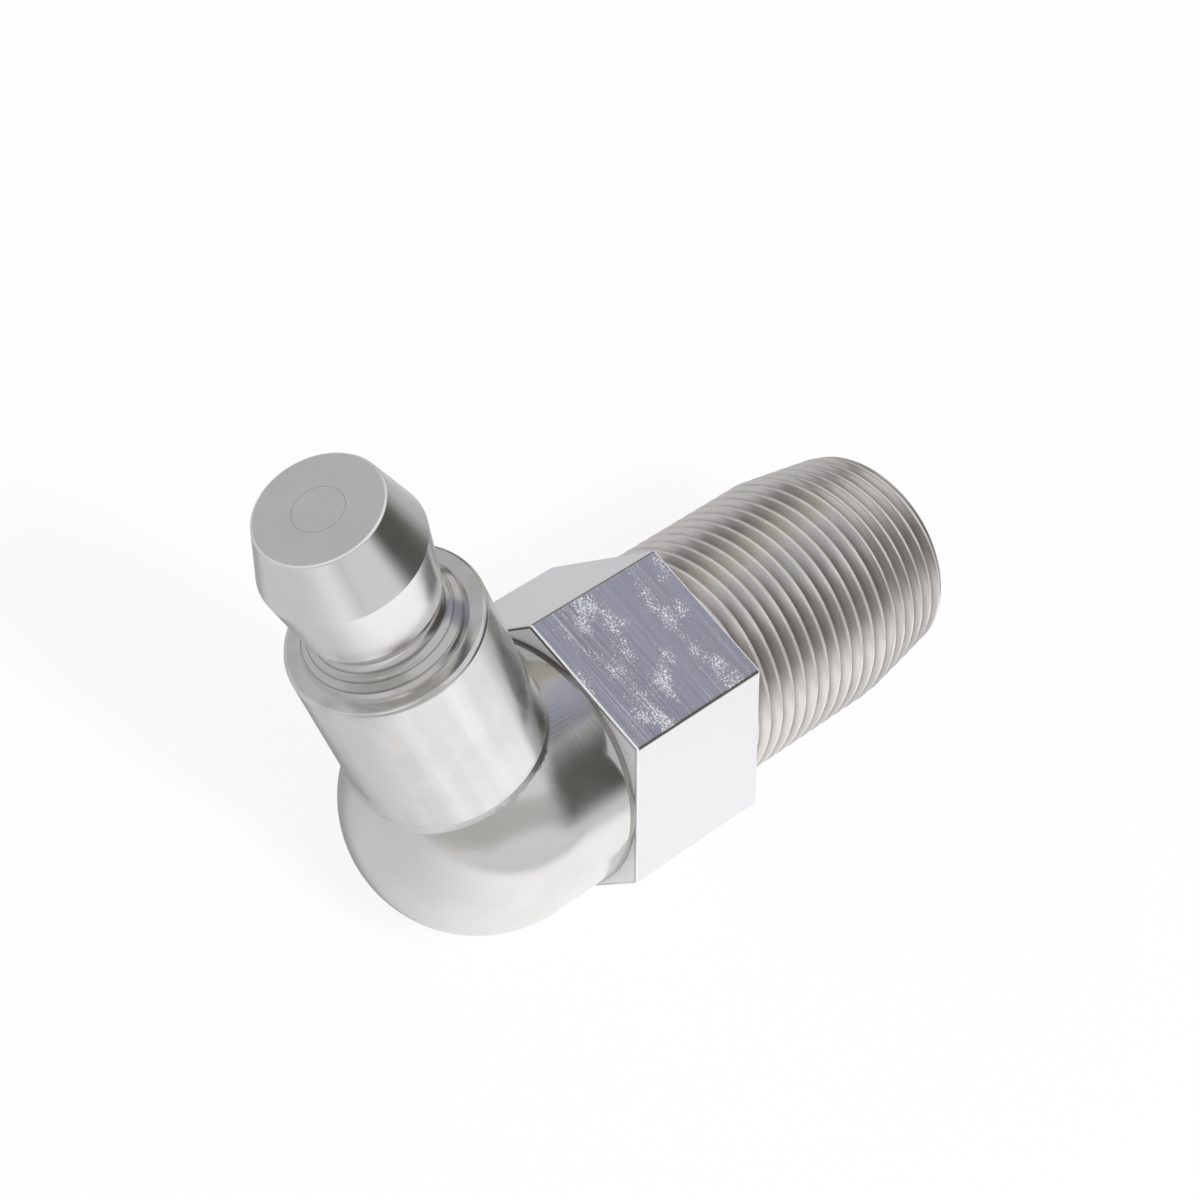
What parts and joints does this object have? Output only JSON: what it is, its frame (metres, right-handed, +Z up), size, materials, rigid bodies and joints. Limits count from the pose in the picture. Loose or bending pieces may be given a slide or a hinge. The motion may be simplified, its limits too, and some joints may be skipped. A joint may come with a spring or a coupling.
{
  "type": "grease nipple",
  "caption": "Elbow grease nipple: spanner hexagon and threaded shank, ball elbow bent off its axis, and a pressed-in coupler head with a sprung check plunger.",
  "frame": {"origin": "centre of the hexagon's thread-side face, on the thread's axis", "axes": "+X along the thread, out of its free end; +Z up, square to the two hexagon flats that lie level, the lower of which the nipple rests on; the head leans to -X and +Y"},
  "size_m": [0.0337, 0.017, 0.0214],
  "materials": {
    "body_steel": "bright plated, turned and brushed",
    "head_steel": "bright plated, turned",
    "plunger_steel": "fine turned, satin",
    "spring_steel": "drawn wire"
  },
  "bodies": {
    "nipple": {"elbow_body": "body_steel", "nipple_head": "head_steel", "plunger_spring": "spring_steel"},
    "plunger": {"check_plunger": "plunger_steel"}
  },
  "joints": [
    {"name": "plunger_slide", "type": "slide", "parent": "nipple", "child": "plunger", "axis": [0.4226, -0.4532, -0.7849], "range_m": [0, 0.0012], "stiffness_N_per_m": 760, "deforming": ["plunger_spring"]}
  ]
}
